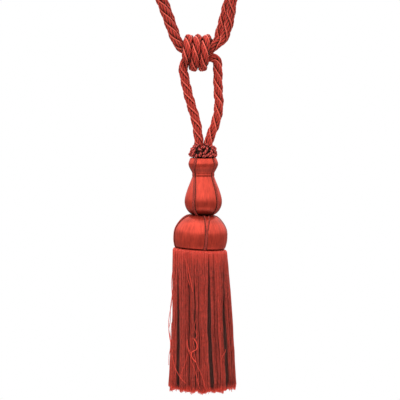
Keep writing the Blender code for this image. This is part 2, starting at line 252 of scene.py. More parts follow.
# %% [markdown]
# ## Yarn along a line
# Everything here is yarn that follows some line: a ply follows the cord, the cord follows its
# route, a thread hangs from the skirt's head. So one helper makes a smooth line out of a few
# places, one finds which way is sideways all along it, one sets rings of places round it, and one
# skins them.


# %% Lines and rings
SPAN_PLACES = 24  # places on the curve from one point to the next, before they are spaced evenly


def smooth_line(points, step):
    """Places about one step apart on a centripetal Catmull-Rom curve through the points."""
    points = np.asarray(points, float)
    ends = np.vstack([2 * points[0] - points[1], points, 2 * points[-1] - points[-2]])
    t = np.linspace(0, 1, SPAN_PLACES, endpoint=False)[:, None]
    fine = []
    for p0, p1, p2, p3 in zip(ends, ends[1:], ends[2:], ends[3:]):
        t1 = np.linalg.norm(p1 - p0) ** 0.5
        t2 = t1 + np.linalg.norm(p2 - p1) ** 0.5
        t3 = t2 + np.linalg.norm(p3 - p2) ** 0.5
        at = t1 + (t2 - t1) * t
        a1 = p0 * (t1 - at) / t1 + p1 * at / t1
        a2 = p1 * (t2 - at) / (t2 - t1) + p2 * (at - t1) / (t2 - t1)
        a3 = p2 * (t3 - at) / (t3 - t2) + p3 * (at - t2) / (t3 - t2)
        b1 = a1 * (t2 - at) / t2 + a2 * at / t2
        b2 = a2 * (t3 - at) / (t3 - t1) + a3 * (at - t1) / (t3 - t1)
        fine.append(b1 * (t2 - at) / (t2 - t1) + b2 * (at - t1) / (t2 - t1))
    fine = np.vstack(fine + [points[-1:]])
    walked = np.concatenate([[0], np.cumsum(np.linalg.norm(np.diff(fine, axis=0), axis=1))])
    even = np.linspace(0, walked[-1], max(3, round(walked[-1] / step) + 1))
    return np.column_stack([np.interp(even, walked, fine[:, i]) for i in range(3)])


def unit(vectors):
    return vectors / np.maximum(np.linalg.norm(vectors, axis=-1, keepdims=True), 1e-12)


def length_of(line):
    return float(np.linalg.norm(np.diff(line, axis=0), axis=1).sum())


def walk(line):
    """How far along an evenly spaced line each of its places is."""
    return np.arange(len(line)) * np.linalg.norm(np.diff(line, axis=0), axis=1).mean()


def sideways(line):
    """Two directions square to a line at each of its places, carried along without twisting."""
    along = unit(np.gradient(line, axis=0))
    aside = (0.0, 1.0, 0.0) if abs(along[0][1]) < 0.9 else (1.0, 0.0, 0.0)
    start = np.cross(along[0], aside)
    first = [start / np.linalg.norm(start)]
    for here in along[1:]:
        carried = first[-1] - here * np.dot(first[-1], here)
        first.append(carried / np.linalg.norm(carried))
    first = np.array(first)
    return first, np.cross(along, first)


def rings_round(line, first, second, radius, angle):
    """A ring of places round each place of a line. first and second are its two directions."""
    first, second = first[..., None, :], second[..., None, :]
    spokes = np.cos(angle)[..., None] * first + np.sin(angle)[..., None] * second
    return line[..., None, :] + np.asarray(radius)[..., None] * spokes


def skin(rings):
    """Places and faces of a closed tube: rings is one row of places for each step."""
    steps, sides = rings.shape[:2]
    i = np.arange(steps - 1)[:, None] * sides
    j = np.arange(sides)[None, :]
    k = (j + 1) % sides
    quads = np.stack([i + j, i + k, i + sides + k, i + sides + j], axis=-1).reshape(-1, 4)
    ends = [tuple(range(sides))[::-1], tuple(range((steps - 1) * sides, steps * sides))]
    return rings.reshape(-1, 3), quads, ends


class Yarns:
    """Gathers tubes with their tones, and makes one mesh of them all."""

    def __init__(self):
        self.places, self.faces, self.looks, self.tones, self.lays = [], [], [], {}, []
        self.count = 0

    def tube(self, rings, look, length, **tones):
        """Adds a tube. length is how far along each ring is; each tone is a number or one a place."""
        places, quads, ends = skin(rings)
        self.places.append(places)
        self.faces += (quads + self.count).tolist()
        self.faces += [[v + self.count for v in end] for end in ends]
        self.looks += [look] * (len(quads) + 2)
        for name, values in tones.items():
            spread = np.broadcast_to(np.asarray(values, float), rings.shape[:2]).reshape(-1)
            self.tones.setdefault(name, []).append(spread)
        around = np.arange(rings.shape[1]) / rings.shape[1]
        self.lays.append(np.stack(np.broadcast_arrays(length[:, None], around[None]), -1).reshape(-1, 2))
        self.count += len(places)

    def piece(self, name, looks):
        """The object that all the tubes make, with a UV map that runs along and round them."""
        mesh = bpy.data.meshes.new(name)
        mesh.from_pydata(np.vstack(self.places).tolist(), [], self.faces)
        for look in looks:
            mesh.materials.append(look.material)
        mesh.polygons.foreach_set("material_index", self.looks)
        mesh.polygons.foreach_set("use_smooth", [True] * len(mesh.polygons))
        for tone, values in self.tones.items():
            mesh.attributes.new(tone, "FLOAT", "POINT").data.foreach_set("value", np.concatenate(values))
        corner = np.empty(len(mesh.loops), int)
        mesh.loops.foreach_get("vertex_index", corner)
        mesh.uv_layers.new(name="lay").data.foreach_set("uv", np.vstack(self.lays)[corner].reshape(-1))
        mesh.update()
        obj = bpy.data.objects.new(name, mesh)
        bpy.context.scene.collection.objects.link(obj)
        print(f"{name}: {sum(len(f) - 2 for f in self.faces)} triangles")
        return obj


# %% [markdown]
# ## The furnishing cord
# The cord is laid from three plies. Each ply is a small rope of yarns that are twisted the other
# way, which is what keeps the cord from untwisting. A bright silky strand lies in each of the
# three grooves, against one of its two plies, so the groove stays open and dark on its other side.
# All of it is real geometry: rings of points carried along the plies' own spirals.
# The numbers are the photograph's: bright strands come round every 12.8 pixels, three to a lay.

# %% Sizes of the cord
CORD_MM = 4.6
CORD_R = CORD_MM * MM
CORD_GAP = 0.35  # mm, between two cords that lie side by side
HALF_APART = (2 * CORD_MM + CORD_GAP) / 2  # mm, half the distance between their middles
CORD_LAY = 41.0 * MM
CORD_STEP = 1.0 * MM
PLY_ORBIT = 2.72 * MM  # from the cord's middle to a ply's middle
PLY_R = 2.66 * MM
PLY_YARNS = 4
YARN_SIDES = 6  # of the tube that stands for one yarn or strand
YARN_PITCH = 13.0 * MM  # length of ply in which its yarns turn once
YARN_GROOVE = 0.20
STRAND_ORBIT = 3.80 * MM
STRAND_R = 0.98 * MM
STRAND_PLACE = 0.60  # where it lies between two plies: past the middle, against one of them
FULL_REACH = 1.1 * CORD_R  # where the tone "reach" is 1
WEDGED = 0.60  # what is left of "reach" where another cord shuts out the light


# %% The cord builder
def lay_cord(yarns, line, start, taper=None, openness=None):
    """Adds a cord's plies (look 0) and bright strands (look 1) along a line.

    start is the turn at which the lay begins, in radians, for the whole line or for each place.
    openness gives a number from 0 to 1 for each place, where 0 is wedged against another cord; it adds
    painted shade.
    """
    first, second = sideways(line)
    walked = walk(line)
    size = np.ones(len(line)) if taper is None else taper
    for part in range(6):
        ply = part < 3
        share = part / 3 if ply else (part + STRAND_PLACE) / 3
        turn = start - 2 * np.pi * walked / CORD_LAY + 2 * np.pi * share
        out = np.cos(turn)[:, None] * first + np.sin(turn)[:, None] * second
        middle = line + out * ((PLY_ORBIT if ply else STRAND_ORBIT) * size)[:, None]
        across = np.cross(unit(np.gradient(middle, axis=0)), out)
        if ply:
            sides = YARN_SIDES * PLY_YARNS
            crown = np.abs(np.cos(PLY_YARNS * np.pi * np.arange(sides) / sides))
            radius = PLY_R * (1 - YARN_GROOVE * (1 - crown))
            spin = 2 * np.pi * walked / YARN_PITCH + part
        else:
            sides = YARN_SIDES
            crown = np.ones(sides)
            radius = np.full(sides, STRAND_R)
            spin = np.zeros(len(line))
        angle = spin[:, None] + 2 * np.pi * np.arange(sides) / sides
        rings = rings_round(middle, out, across, radius * size[:, None], angle)
        reach = np.linalg.norm(rings - line[:, None], axis=2) / (FULL_REACH * size[:, None])
        if openness:
            reach = reach * (WEDGED + (1 - WEDGED) * openness(rings))
        yarns.tube(rings, 0 if ply else 1, walked, reach=reach, crown=crown[None, :])


# %% [markdown]
# ## Cord colours
# The plies are matt brick-red yarn. Deep in the cord the yarn looks dark, because hardly any light
# gets in, so the colour follows how far a point is from the cord's middle and how deep it lies
# between two yarns. Where cords press together less light gets in, so the arms are darker than the
# drop, and the coil is dark between its turns. Fine fibres run along each yarn. The bright strands
# are smooth and silky.

# %% Ply yarn and bright strand
FIBRES, WORN_PATCHES = (900, 60), (160, 5)  # grains in a metre of yarn, and grains round it
CREVICE = 0.22  # how much darker a yarn's sides are than its crown, as painted shade
FIBRE_HEIGHT = 0.12 * MM
RED_TINT = (1.0, 0.45, 0.35, 1.0)


def fibre_yarn(name, deep, face, bright, shine, **even):
    """Yarn with painted shade in its grooves and deep in the cord, with fibres along it."""
    look = Look(name, **even)
    length, around = look.uv("lay")
    fibres = look.grain(length * FIBRES[0], around * FIBRES[1], 0.0, 3.0)
    patches = look.grain(length * WORN_PATCHES[0], around * WORN_PATCHES[1], 2.0, 1.0)
    deep_in = look.tone("reach") - CREVICE * (1 - look.clip(look.tone("crown"), 0.22, 0.66))
    open_air = look.clip(deep_in, 0.64, 0.96)
    shade = look.between(open_air, deep, face)
    # Painted shade: the lighter colour of the fibres and patches shows only where light gets in.
    wear_and_shade = look.clip(fibres * 0.6 + patches * 0.4, 0.42, 0.66) * open_air
    look.paint(look.between(wear_and_shade, shade, bright))
    look.rough(shine + 0.25 * fibres)
    look.emboss(fibres, FIBRE_HEIGHT)
    return look


ply_yarn = fibre_yarn(
    "ply_yarn", deep=(0.034, 0.014, 0.010), face=(0.38, 0.033, 0.023), bright=(0.52, 0.049, 0.034),
    shine=0.55, Specular_IOR_Level=0.18, Specular_Tint=RED_TINT,
)
bright_strand = fibre_yarn(
    "bright_strand", deep=(0.10, 0.014, 0.010), face=(0.68, 0.088, 0.060), bright=(0.88, 0.145, 0.100),
    shine=0.32, Specular_IOR_Level=0.4, Specular_Tint=(1.0, 0.40, 0.30, 1.0),
)

# %% [markdown]
# ## The embrace
# One length of cord makes both arms. It leaves the knot as a pair on each side, and each pair
# ends in a loop that goes over the hook. A loop is drawn as an arc that ends in a throat,
# where its two runs close up and lie side by side again.

# %% Route of the embrace, in millimetres and degrees
KNOT_X, KNOT_Z = -2.1, -169.3
TRACK_R = 2 * HALF_APART / math.sqrt(3)  # from the knot's middle to each of the three runs in it
EMBRACE_Z = KNOT_Z + TRACK_R / 2
DROP_Z = KNOT_Z - TRACK_R
TUCK = 0.6  # from the knot's middle to each end of the cord
# The hook loops: radius, distance down to the throat, half of the arc, its places, and depth.
EYE_R, EYE_REACH, EYE_SWEEP, EYE_STEPS, EYE_DEPTH = 18.5, 38.0, 105.0, 7, 4.9
LEFT_TILT, RIGHT_TILT = 38.0, -32.0
LEFT_ARM = (
    # x, z, depth, turn of the pair
    (-9, EMBRACE_Z, 0, 0), (-13.5, EMBRACE_Z, 0, 0), (-18, -165, 0, 1),
    (-21.7, -161.2, 0, 4), (-24.8, -156, 0, 8), (-28.5, -146.5, 0, 12),
    (-34.5, -129.4, 0, 14), (-40.8, -112.4, 0, 16), (-44.1, -102.7, 0, 22),
    (-46.2, -91, -0.5, 35), (-45.5, -78.1, -1.5, 52), (-41.2, -65.3, -3, 70),
    (-33.2, -52.9, -4.2, 84),
)
RIGHT_ARM = (
    # x, z, depth, turn of the pair
    (4, EMBRACE_Z, 0, 0), (8.3, -166.2, -0.5, 2), (11.9, -164.6, -1.2, 3),
    (16.8, -159.8, -1.9, 6), (20.4, -156.3, -1.3, 22), (22.5, -153, -0.7, 33),
    (25.1, -145.3, -0.5, 42), (27.5, -137.2, -0.2, 43), (29.2, -129.5, 0, 40),
    (30.9, -120.9, 0, 32), (32.7, -112.4, 0, 24), (34.2, -102.7, 0.2, 26),
    (35.1, -91, 0.7, 36), (33.9, -78, 1.7, 54), (30.4, -65.5, 3.1, 71),
    (25.4, -54, 4.2, 84),
)


def pair_of_runs(rows, side):
    """The front and the back cord of an arm, from the knot up."""
    middle = np.array([(x, depth, z) for x, z, depth, _ in rows])
    along = np.array([middle[min(i + 1, len(rows) - 1)] - middle[max(i - 1, 0)] for i in range(len(rows))])
    along[:, 1] = 0
    along = unit(along)
    outward = np.column_stack([-along[:, 2], np.zeros(len(rows)), along[:, 0]]) * -side
    turn = np.radians([row[3] for row in rows])[:, None]
    across = np.cos(turn) * np.array([0, -1, 0]) + outward * np.sin(turn)
    return middle + across * HALF_APART, middle - across * HALF_APART


def hook_loop(tilt, depth):
    """A loop from its outer run, round the hook, to its inner run."""
    lean = math.radians(tilt)
    centre = np.array([0, depth, CORD_MM - EYE_R])
    down = np.array([-math.sin(lean), 0, -math.cos(lean)])
    outer = np.array([-math.cos(lean), 0, math.sin(lean)]) * (1 if tilt > 0 else -1)
    sweep = np.radians(EYE_SWEEP * (1 - 2 * np.arange(EYE_STEPS) / (EYE_STEPS - 1)))[:, None]
    arc = centre + (outer * np.sin(sweep) - down * np.cos(sweep)) * EYE_R
    throat = centre + down * EYE_REACH
    return np.vstack([throat + outer * HALF_APART, arc, throat - outer * HALF_APART])


left_front, left_back = pair_of_runs(LEFT_ARM, -1)
right_front, right_back = pair_of_runs(RIGHT_ARM, 1)
embrace_route = np.vstack([
    [(KNOT_X - TUCK, HALF_APART, EMBRACE_Z)],
    left_back, hook_loop(LEFT_TILT, -EYE_DEPTH)[::-1], left_front[::-1],
    right_front, hook_loop(RIGHT_TILT, EYE_DEPTH), right_back[::-1],
    [(KNOT_X + TUCK, HALF_APART, EMBRACE_Z)],
])


def declare_cord(piece, node, line):
    """Hides the solid that a cord stands for, attaches the cord to the root, and prints its length."""
    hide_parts(node)
    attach(piece, "root")
    print(piece.name, round(length_of(line), 3), "m")


embrace_line = smooth_line(embrace_route * MM, CORD_STEP)
yarns = Yarns()
# Painted shade: the arms are darker than the drop all along, where the cords of a pair press together.
lay_cord(yarns, embrace_line, start=0.5, openness=lambda rings: 0.80)
declare_cord(yarns.piece("embrace", [ply_yarn, bright_strand]), "embrace_cord", embrace_line)

# %% [markdown]
# ## The drop
# The second cord starts in the tassel's neck, goes up through the knot and comes back down to the
# neck. It leaves the knot sideways at both ends, so it bulges out before it hangs. Its lay comes
# out of the knot at another turn on the right than on the left, as in the photograph.

# %% Route of the drop, and its cord
DROP_ROUTE = np.array([
    # x, depth, z, in millimetres
    (-1.1, 0, -280.3), (-1.1, 0, -272), (-1.3, 0, -263.2), (-2, 0, -256.4), (-4.1, 0, -242.8),
    (-8, 0, -229.1), (-12.2, 0, -214.6), (-15.9, 0, -198.3), (-17.6, 0, -189), (-17.3, 0, -182),
    (-14.2, 0, -176.8), (-8.6, 0, DROP_Z), (-3, 0, DROP_Z), (2.6, 0, DROP_Z), (7.6, 0, DROP_Z),
    (12.6, 0, -173.9), (16.8, 0, -176), (18.6, 0, -181), (19, 0, -188), (19.1, 0, -200),
    (19.6, 0, -213), (20.2, 0, -222.3), (19.3, 0, -232.5), (16.9, 0, -242.8), (14.6, 0, -249.6),
    (11.8, 0, -256.4), (9.4, 0, -263.2), (8.5, 0, -272), (8.5, 0, -280.3),
])
INSIDE_KNOT = (0.44, 0.56)  # shares of the cord's length between which the knot hides it
LEG_STARTS = (1.9, 0.9)  # where the lay begins for the left leg and for the right one, in radians

drop_line = smooth_line(DROP_ROUTE * MM, CORD_STEP)
hidden = [len(drop_line) * share for share in INSIDE_KNOT]
yarns = Yarns()
lay_cord(yarns, drop_line, start=np.interp(np.arange(len(drop_line)), hidden, LEG_STARTS))
declare_cord(yarns.piece("drop", [ply_yarn, bright_strand]), "drop_cord", drop_line)

# %% [markdown]
# ## The knot
# Nearly three turns of the same cord bind the three runs that pass through it, so three crowns
# show in front. The ends of the coil are tucked in, so they taper away behind the runs.

# %% Coil the knot
WRAP_R = TRACK_R + 2 * HALF_APART
WRAP_TOP_X, WRAP_PITCH, WRAP_START, WRAP_END = 7.5, 9.6, -110.0, 848.0
WRAP_POINTS = 49
CROWN_HEIGHT = 3.4 * MM
TAPER_LENGTH = 6 * MM
TAPER_TO = 0.5

around = np.linspace(WRAP_START, WRAP_END, WRAP_POINTS)
wrap_route = np.column_stack([
    WRAP_TOP_X - WRAP_PITCH * around / 360,
    -WRAP_R * np.sin(np.radians(around)),
    KNOT_Z + WRAP_R * np.cos(np.radians(around)),
])
wrap_line = smooth_line(wrap_route * MM, CORD_STEP)
from_end = np.minimum(np.arange(len(wrap_line)), np.arange(len(wrap_line))[::-1]) * CORD_STEP


def outer_side(places):
    """How far out on the coil each place is: 0 between two turns, 1 on their crowns."""
    out = np.hypot(places[..., 1], places[..., 2] - KNOT_Z * MM)
    return np.clip((out - WRAP_R * MM) / CROWN_HEIGHT, 0, 1)


yarns = Yarns()
shrink = np.clip(TAPER_TO + (1 - TAPER_TO) * from_end / TAPER_LENGTH, TAPER_TO, 1.0)
# Painted shade: the coil is darker between its turns than on its crowns.
lay_cord(yarns, wrap_line, start=2.2, taper=shrink, openness=outer_side)
wraps = yarns.piece("knot", [ply_yarn, bright_strand])
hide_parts("knot_wrap")
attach(wraps, "root")

# %% [markdown]
# ## The moulds
# A tassel maker turns two beads of wood and winds them lengthwise with satin thread. A lathe
# works on a profile, and so does this: a disc is extruded down the axis and made wider or
# narrower at each row of the profile. Subdivision then rounds the rows into one another.

# %% Profiles, in millimetres
UPPER_X, UPPER_TOP = 3.5, -280.9
UPPER_PROFILE = (
    # drop, radius
    (0.0, 13.3), (0.3, 14.0), (2.0, 14.6), (4.0, 15.4), (5.4, 15.85), (6.8, 16.0), (8.2, 15.8),
    (10.0, 15.2), (12.5, 13.9), (15.4, 12.3), (16.6, 11.7), (17.4, 12.0), (19.0, 12.1), (19.6, 11.6),
    (21.0, 12.0), (26.4, 14.1), (33.9, 17.2), (41.5, 19.5), (47.3, 20.4), (52.4, 19.4), (56.8, 17.1),
    (60.0, 13.9), (61.2, 11.4), (61.5, 9.0),
)
LOWER_X, LOWER_TOP, LOWER_LEAN = 1.7, -342.15, math.radians(3.0)
LOWER_PROFILE = (
    # drop, radius
    (-0.2, 10.0), (0.2, 12.4), (1.6, 16.8), (3.8, 19.9), (6.1, 22.2), (8.2, 23.9), (10.4, 25.4),
    (12.5, 26.6), (14.7, 27.6), (16.8, 28.2), (18.9, 28.6), (23.0, 28.8), (27.5, 28.65), (29.7, 28.3),
    (31.8, 27.8), (34.4, 27.0), (35.2, 26.3), (35.6, 25.4),
)
MOULD_SIDES = 48


def wind_thread(mould, profile, shaded_ends, shade_band):
    """Gives each point the place that the thread's grain is read at, and how much shade is painted on it.

    shaded_ends is how far, in mm, the painted shade goes down from the head and up from the foot.
    shade_band is a band of lighter painted shade: its drop, its reach and how much.
    """
    places = np.empty(len(mould.data.vertices) * 3)
    mould.data.vertices.foreach_get("co", places)
    places = places.reshape(-1, 3)
    out = unit(places * (1, 1, 0))
    wound = np.column_stack([out[:, 0], out[:, 1], places[:, 2]])
    drop = -places[:, 2] / MM
    from_head, from_foot = drop - profile[0][0], profile[-1][0] - drop
    painted_shade = np.clip(1 - np.minimum(from_head / shaded_ends[0], from_foot / shaded_ends[1]), 0, 1)
    at, width, how_much = shade_band
    painted_shade = np.maximum(painted_shade, how_much * np.exp(-(((drop - at) / width) ** 2)))
    tones = mould.data.attributes
    tones.new("wound", "FLOAT_VECTOR", "POINT").data.foreach_set("vector", wound.reshape(-1))
    tones.new("painted_shade", "FLOAT", "POINT").data.foreach_set("value", painted_shade)


def turn_mould(name, node, profile, x, top, lean, look, shaded_ends, shade_band):
    """Turns a solid from rows of drop and radius, winds it, and sets it in place."""
    first_drop, first_radius = profile[0]
    bpy.ops.mesh.primitive_circle_add(
        vertices=MOULD_SIDES, radius=first_radius * MM, fill_type="NGON", location=(0, 0, -first_drop * MM)
    )
    mould = bpy.context.object
    mould.name = mould.data.name = name
    bpy.ops.object.transform_apply(location=True)
    bpy.ops.object.mode_set(mode="EDIT")
    bpy.ops.mesh.select_all(action="SELECT")
    for (drop, radius), (next_drop, next_radius) in zip(profile, profile[1:]):
        fall = (0, 0, (drop - next_drop) * MM)
        bpy.ops.mesh.extrude_region_move(TRANSFORM_OT_translate={"value": fall})
        ratio = next_radius / radius
        bpy.ops.transform.resize(value=(ratio, ratio, 1), center_override=(0, 0, -next_drop * MM))
    bpy.ops.mesh.select_all(action="SELECT")
    bpy.ops.mesh.normals_make_consistent(inside=False)
    bpy.ops.object.mode_set(mode="OBJECT")
    rounding = mould.modifiers.new("rounding", "SUBSURF")
    rounding.levels = rounding.render_levels = 2
    bpy.ops.object.modifier_apply(modifier="rounding")
    bpy.ops.object.shade_smooth()
    wind_thread(mould, profile, shaded_ends, shade_band)
    mould.location = (x * MM, 0, top * MM)
    mould.rotation_euler = (0, lean, 0)
    bpy.ops.object.transform_apply(location=True, rotation=True)
    mould.data.materials.append(look.material)
    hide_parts(node)
    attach(mould, "root")
    mould.select_set(False)
    print(f"{name}: {len(mould.data.polygons) * 2} triangles")


# %% [markdown]
# ## Satin thread
# The thread is viscose, wound side by side from top to bottom. It has a silky shine that runs
# round the mould in a band, because each thread is a tiny cylinder that lies lengthwise. The
# shader's anisotropy gives that band, and a fine grain that is long down the mould and narrow
# round it gives the threads. The grain is read from the direction out of the axis, so it has
# no seam. Shade is painted into the thread's colour at both ends of a mould, above the upper
# one's waist and on the dome's shoulder, so it is darker there.

# %% Satin
THREADS, HANKS, CLOUDS = (52, 130), (14, 60), (3, 90)  # grains in a radian, and in a metre down
THREAD_HEIGHT = 0.22 * MM

satin = Look("satin_thread", Metallic=0.6, Anisotropic=0.85, Specular_IOR_Level=0.2)
wound = satin.add("ShaderNodeAttribute", {"attribute_name": "wound"}, {}, "Vector")
x, y, z = (satin.add("ShaderNodeSeparateXYZ", {}, {0: wound}, i) for i in range(3))
threads, hanks, clouds = (
    satin.grain(x * radian, y * radian, z * metre) for radian, metre in (THREADS, HANKS, CLOUDS)
)
tone = satin.clip(threads * 0.45 + hanks * 0.3 + clouds * 0.25, 0.37, 0.61)
face = satin.between(tone, (0.30, 0.029, 0.018), (0.61, 0.060, 0.034))
# Painted shade: the thread turns dark at a mould's ends and in a band on it.
painted_shade = satin.clip(satin.tone("painted_shade"), 0.1, 0.8)
satin.paint(satin.between(painted_shade, face, (0.05, 0.014, 0.010)))
satin.rough(0.34 + 0.12 * hanks)
satin.emboss(threads * 0.6 + hanks * 0.4, THREAD_HEIGHT)

# %% Turn the two moulds
turn_mould(
    "upper_satin", "upper_mould", UPPER_PROFILE, UPPER_X, UPPER_TOP, 0.0, satin,
    shaded_ends=(0.2, 9.6), shade_band=(12.8, 3.6, 0.36),
)
turn_mould(
    "lower_satin", "lower_mould", LOWER_PROFILE, LOWER_X, LOWER_TOP, LOWER_LEAN, satin,
    shaded_ends=(1.2, 2.0), shade_band=(5.2, 3.0, 0.28),
)

# %% [markdown]
# ## Gimp up the seams
# A pair of fine twisted cords is tied over the winding at every quarter turn. Each is two thin
# yarns wound round one another, so each is built as two tubes on one spiral. Close beside each cord
# two dark threads are half sunk in the mould: they are painted shadow, a dark line along the cord.

# %% Fine twisted cord
PAIR_ORBIT, PAIR_REACH = 0.86, 1.86  # in yarn radii: a yarn's middle and its outer side


def twist_pair(yarns, line, yarn_r, pitch, start, openness=1.0):
    """Adds two yarns that wind round a line. openness is 0 where they lie in the dark."""
    first, second = sideways(line)
    walked = walk(line)
    angle = 2 * np.pi * np.arange(YARN_SIDES) / YARN_SIDES
    for half in (0, np.pi):
        turn = start + half - 2 * np.pi * walked / pitch
        out = np.cos(turn)[:, None] * first + np.sin(turn)[:, None] * second
        middle = line + out * yarn_r * PAIR_ORBIT
        across = np.cross(unit(np.gradient(middle, axis=0)), out)
        rings = rings_round(middle, out, across, yarn_r, angle)
        reach = np.linalg.norm(rings - line[:, None], axis=2) / (PAIR_REACH * yarn_r) * openness
        yarns.tube(rings, 0, walked, reach=reach, crown=1.0)


gimp_yarn = fibre_yarn(
    "gimp_yarn", deep=(0.030, 0.014, 0.010), face=(0.44, 0.046, 0.036), bright=(0.62, 0.085, 0.066),
    shine=0.5, Specular_IOR_Level=0.3, Specular_Tint=RED_TINT,
)

# %% Tie the seams
GIMP_YARN, GIMP_PITCH, GIMP_STEP = 0.36 * MM, 2.9 * MM, 0.35 * MM
SHADOW_LINE_PITCH = 60 * MM  # of the painted-shadow threads beside a cord, which hardly turn
PROUD = 0.22  # mm that a cord stands out of the mould, and its painted-shadow threads lie in it
SEAM_HALF = 0.62  # mm from the middle of a pair to each of its cords
SHADOW_LINE_ASIDE = 0.72  # mm from a cord to the painted-shadow threads beside it
FAN_ENDS, FAN_CURVE, FAN_DRIFT = 0.45, 1.3, 0.3  # where a fan closes, how it bends, what runs left
WAIST_SWING = np.array([
    # drop, share of the swing
    (0.0, 0.10), (6.6, 0.18), (15.4, 1.0), (20.4, 0.95), (26.4, 0.45), (33.9, 0.12), (41.5, 0.0),
    (61.2, 0.05),
])


def seam_line(profile, bearing, aside, x, top, lean, proud):
    """A line up a mould. bearing is its angle and its swing at the waist, aside a shift in mm."""
    angle, swing = bearing
    places = []
    rows = np.array([(radius, -drop) for drop, radius in profile])
    along = np.gradient(rows, axis=0)
    out = unit(np.column_stack([-along[:, 1], along[:, 0]]))
    for i, (radius, z) in enumerate(rows + out * proud):
        turned_by = angle + swing * np.interp(profile[i][0], WAIST_SWING[:, 0], WAIST_SWING[:, 1])
        turn = math.radians(turned_by) + aside(i / (len(rows) - 1)) / radius
        places.append((radius * math.sin(turn), -radius * math.cos(turn), z))
    turned = np.array(places) @ np.array(Matrix.Rotation(lean, 3, "Y").transposed())
    return smooth_line((turned + (x, 0, top)) * MM, GIMP_STEP)


def tie_seams(name, nodes, profile, x, top, lean, bearings, fan):
    """Pairs of gimp up a mould. fan is how far, in mm, the right one of a pair swings out at the top.

    A pair with a fan also runs to the left as it goes down, by a share of it.
    """
    yarns = Yarns()
    for i, bearing in enumerate(bearings):
        for side in (-1, 1):
            def aside(share):
                swung = fan * max(0.0, 1 - share / FAN_ENDS) ** FAN_CURVE if side > 0 else 0.0
                return SEAM_HALF * side + swung - FAN_DRIFT * fan * share

            def beside(share):
                return aside(share) + SHADOW_LINE_ASIDE * side

            line = seam_line(profile, bearing, aside, x, top, lean, PROUD)
            twist_pair(yarns, line, GIMP_YARN, GIMP_PITCH, i + side)
            # The dark threads beside each cord are painted shadow: dark all through, half sunk in the
            # mould.
            shadow_line = seam_line(profile, bearing, beside, x, top, lean, -PROUD)
            twist_pair(yarns, shadow_line, GIMP_YARN, SHADOW_LINE_PITCH, i, openness=0.2)
    gimp = yarns.piece(name, [gimp_yarn])
    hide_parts(*nodes)
    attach(gimp, "root")


tie_seams(
    "upper_gimp", [f"upper_cord_{i}" for i in range(1, 5)], UPPER_PROFILE[1:], UPPER_X, UPPER_TOP, 0.0,
    bearings=((-30.0, -22.0), (50.0, 5.0), (138.0, 8.0), (229.0, -8.0)), fan=0.0,
)
tie_seams(
    "lower_gimp", [f"lower_cord_{i}" for i in range(1, 5)], LOWER_PROFILE[1:], LOWER_X, LOWER_TOP,
    LOWER_LEAN, bearings=((14.0, 0.0), (-76.0, 0.0), (104.0, 0.0), (194.0, 0.0)), fan=4.2,
)

# %% [markdown]
# ## The ruff
# Round the neck, where the drop goes into the tassel, sits a ruff of small curled loops of fine
# cord, twisted in the way of the gimp but thicker and brighter. A few tiers of curls with seeded,
# uneven tilts give its knobbly outline, and turns of cord wound round the neck close it behind
# them.

# %% Curls of the ruff, in millimetres
RUFF_TOP, RUFF_FOOT = -269.0, -280.4
RUFF_TIERS = (
    # z, curls, distance out, curl radius
    (-269.4, 7, 9.4, 2), (-271.8, 9, 11.2, 2), (-274.6, 9, 12.2, 2.1), (-277.2, 10, 12.5, 2),
    (-278.7, 11, 12.3, 1.7), (-266.8, 5, 7.2, 1.7),
)
CURL_YARN, CURL_PITCH, CURL_STEP = 0.72, 4.6, 0.5
CURL_PLACES, CURL_SWEEP, CURL_FLAT, CURL_RISE = 9, 150, 0.8, 0.9
TURN_YARN, TURN_PITCH, TURN_STEP = 0.50, 3.6, 0.9
TURN_PLACES, TURN_WIDE, TURN_FALL = 25, 10.6, 1.7

ruff_cord = fibre_yarn(
    "ruff_cord", deep=(0.026, 0.017, 0.014), face=(0.52, 0.054, 0.044), bright=(0.78, 0.115, 0.098),
    shine=0.5, Specular_IOR_Level=0.3, Specular_Tint=RED_TINT,
)
chance = random.Random(11)


def curl(yarns, turn, z, out, curl_r):
    """One loop of cord that stands out from the neck at a turn, tilted and sized by chance."""
    outward = np.array([math.sin(turn), -math.cos(turn), 0])
    beside = np.array([math.cos(turn), math.sin(turn), 0])
    tilt = chance.uniform(-1.1, 1.1)
    tilted = beside * math.cos(tilt) + np.array([0, 0, 1]) * math.sin(tilt)
    centre = np.array([UPPER_X, 0, z]) + outward * out
    swing = np.radians(np.linspace(-CURL_SWEEP, CURL_SWEEP, CURL_PLACES) + chance.uniform(-15, 15))
    wide = curl_r * chance.uniform(0.85, 1.15)
    loop = centre + wide * (np.cos(swing)[:, None] * outward + CURL_FLAT * np.sin(swing)[:, None] * tilted)
    rise = np.linspace(-CURL_RISE, CURL_RISE, CURL_PLACES)[:, None]
    line = smooth_line((loop + np.cross(outward, tilted) * rise) * MM, CURL_STEP * MM)
    far_out = np.hypot(line[:, 0] - UPPER_X * MM, line[:, 1]) / MM
    # Painted shade: each curl darkens towards the neck, where the pockets between curls lie.
    openness = 0.62 + 0.38 * np.clip((far_out - out + 0.6) / 1.8, 0, 1)
    twist_pair(yarns, line, CURL_YARN * MM, CURL_PITCH * MM, chance.uniform(0, 6), openness[:, None])


